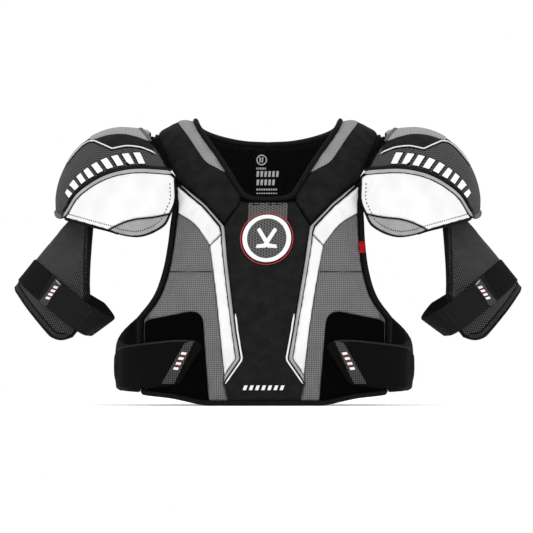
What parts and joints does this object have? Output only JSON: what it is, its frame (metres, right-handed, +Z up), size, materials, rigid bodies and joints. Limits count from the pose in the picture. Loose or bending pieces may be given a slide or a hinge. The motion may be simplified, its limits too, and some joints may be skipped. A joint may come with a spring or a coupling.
{
  "type": "ice hockey shoulder pads",
  "caption": "Padded chest, back and shoulder protector with two hinged shoulder caps, two upper-arm guards and hook-and-loop straps.",
  "frame": {"origin": "on the floor plane under the middle of the vest, which stands on its hems", "axes": "+Z up, the chest faces -Y, +X towards the wearer's left side"},
  "size_m": [0.7186, 0.2624, 0.4103],
  "materials": {
    "black_fabric": "matte brushed knit",
    "lining": "matte brushed lining",
    "grey_mesh": "matte ribbed sport mesh",
    "light_mesh": "matte ribbed sport mesh",
    "dark_mesh": "matte ribbed sport mesh",
    "white_overlay": "smooth coated synthetic leather",
    "silver_trim": "smooth coated synthetic leather",
    "black_binding": "matte woven tape",
    "loop_pile": "fuzzy loop pile",
    "black_elastic": "matte woven elastic",
    "woven_tab": "woven checked label tape",
    "foam": "matte closed-cell foam",
    "moulded_plastic": "moulded polyethylene",
    "badge_white": "smooth moulded badge",
    "red_tag": "woven tape"
  },
  "bodies": {
    "vest": {"front_liner": "lining", "sternum_plate": "moulded_plastic", "front_foam_pad": "foam", "center_panel": "black_fabric", "front_hem_binding": "black_binding", "center_mesh_inset": "dark_mesh", "badge_ring": "badge_white", "neck_binding": "black_binding", "back_liner": "lining", "spine_plate": "moulded_plastic", "back_foam_pad": "foam", "back_cover": "black_fabric", "back_binding": "black_binding", "red_tag": "red_tag", "chest_trim_left": "silver_trim", "chest_trim_right": "silver_trim", "upper_chest_overlay_left": "white_overlay", "upper_chest_overlay_right": "white_overlay", "lower_chest_overlay_left": "white_overlay", "lower_chest_overlay_right": "white_overlay", "chest_mesh_panel_left": "grey_mesh", "chest_mesh_panel_right": "grey_mesh", "waist_loop_patch_left": "loop_pile", "waist_loop_patch_right": "loop_pile", "armhole_binding_left": "black_binding", "armhole_binding_right": "black_binding", "yoke_pad_left": "black_fabric", "yoke_pad_right": "black_fabric", "yoke_mesh_strip_left": "light_mesh", "yoke_mesh_strip_right": "light_mesh", "cap_bridge_strap_left": "black_elastic", "cap_bridge_strap_right": "black_elastic", "side_wing_left": "black_fabric", "side_wing_right": "black_fabric"},
    "cap_left": {"cap_foam_left": "foam", "cap_shell_left": "moulded_plastic", "cap_cover_left": "dark_mesh", "cap_trim_left": "silver_trim", "cap_panel_left": "white_overlay", "cap_lens_left": "silver_trim"},
    "arm_guard_left": {"arm_guard_pad_left": "dark_mesh", "arm_loop_patch_left": "loop_pile", "arm_strap_return_left": "black_elastic"},
    "arm_strap_flap_left": {"arm_strap_left": "black_elastic", "arm_strap_tab_left": "woven_tab"},
    "side_strap_flap_left": {"side_strap_left": "black_elastic", "side_strap_tab_left": "woven_tab"},
    "cap_right": {"cap_foam_right": "foam", "cap_shell_right": "moulded_plastic", "cap_cover_right": "dark_mesh", "cap_trim_right": "silver_trim", "cap_panel_right": "white_overlay", "cap_lens_right": "silver_trim"},
    "arm_guard_right": {"arm_guard_pad_right": "dark_mesh", "arm_loop_patch_right": "loop_pile", "arm_strap_return_right": "black_elastic"},
    "arm_strap_flap_right": {"arm_strap_right": "black_elastic", "arm_strap_tab_right": "woven_tab"},
    "side_strap_flap_right": {"side_strap_right": "black_elastic", "side_strap_tab_right": "woven_tab"}
  },
  "joints": [
    {"name": "cap_lift_left", "type": "hinge", "parent": "vest", "child": "cap_left", "pos_m": [0.166, 0.00135, 0.391], "axis": [0, -1, 0], "range_deg": [0, 70]},
    {"name": "arm_guard_swing_left", "type": "hinge", "parent": "cap_left", "child": "arm_guard_left", "pos_m": [0.289, 0.00135, 0.26], "axis": [0, -1, 0], "range_deg": [-8, 45]},
    {"name": "arm_strap_peel_left", "type": "hinge", "parent": "arm_guard_left", "child": "arm_strap_flap_left", "pos_m": [0.25677, -0.05244, 0.1247], "axis": [0.6266, 0, -0.7793], "range_deg": [0, 110]},
    {"name": "side_strap_peel_left", "type": "hinge", "parent": "vest", "child": "side_strap_flap_left", "pos_m": [0.2142, 0.00135, 0.05], "axis": [0, 0, 1], "range_deg": [0, 120]},
    {"name": "cap_lift_right", "type": "hinge", "parent": "vest", "child": "cap_right", "pos_m": [-0.166, 0.00135, 0.391], "axis": [0, 1, 0], "range_deg": [0, 70]},
    {"name": "arm_guard_swing_right", "type": "hinge", "parent": "cap_right", "child": "arm_guard_right", "pos_m": [-0.289, 0.00135, 0.26], "axis": [0, 1, 0], "range_deg": [-8, 45]},
    {"name": "arm_strap_peel_right", "type": "hinge", "parent": "arm_guard_right", "child": "arm_strap_flap_right", "pos_m": [-0.25677, -0.05244, 0.1247], "axis": [0.6266, 0, 0.7793], "range_deg": [0, 110]},
    {"name": "side_strap_peel_right", "type": "hinge", "parent": "vest", "child": "side_strap_flap_right", "pos_m": [-0.2142, 0.00135, 0.05], "axis": [0, 0, -1], "range_deg": [0, 120]}
  ]
}
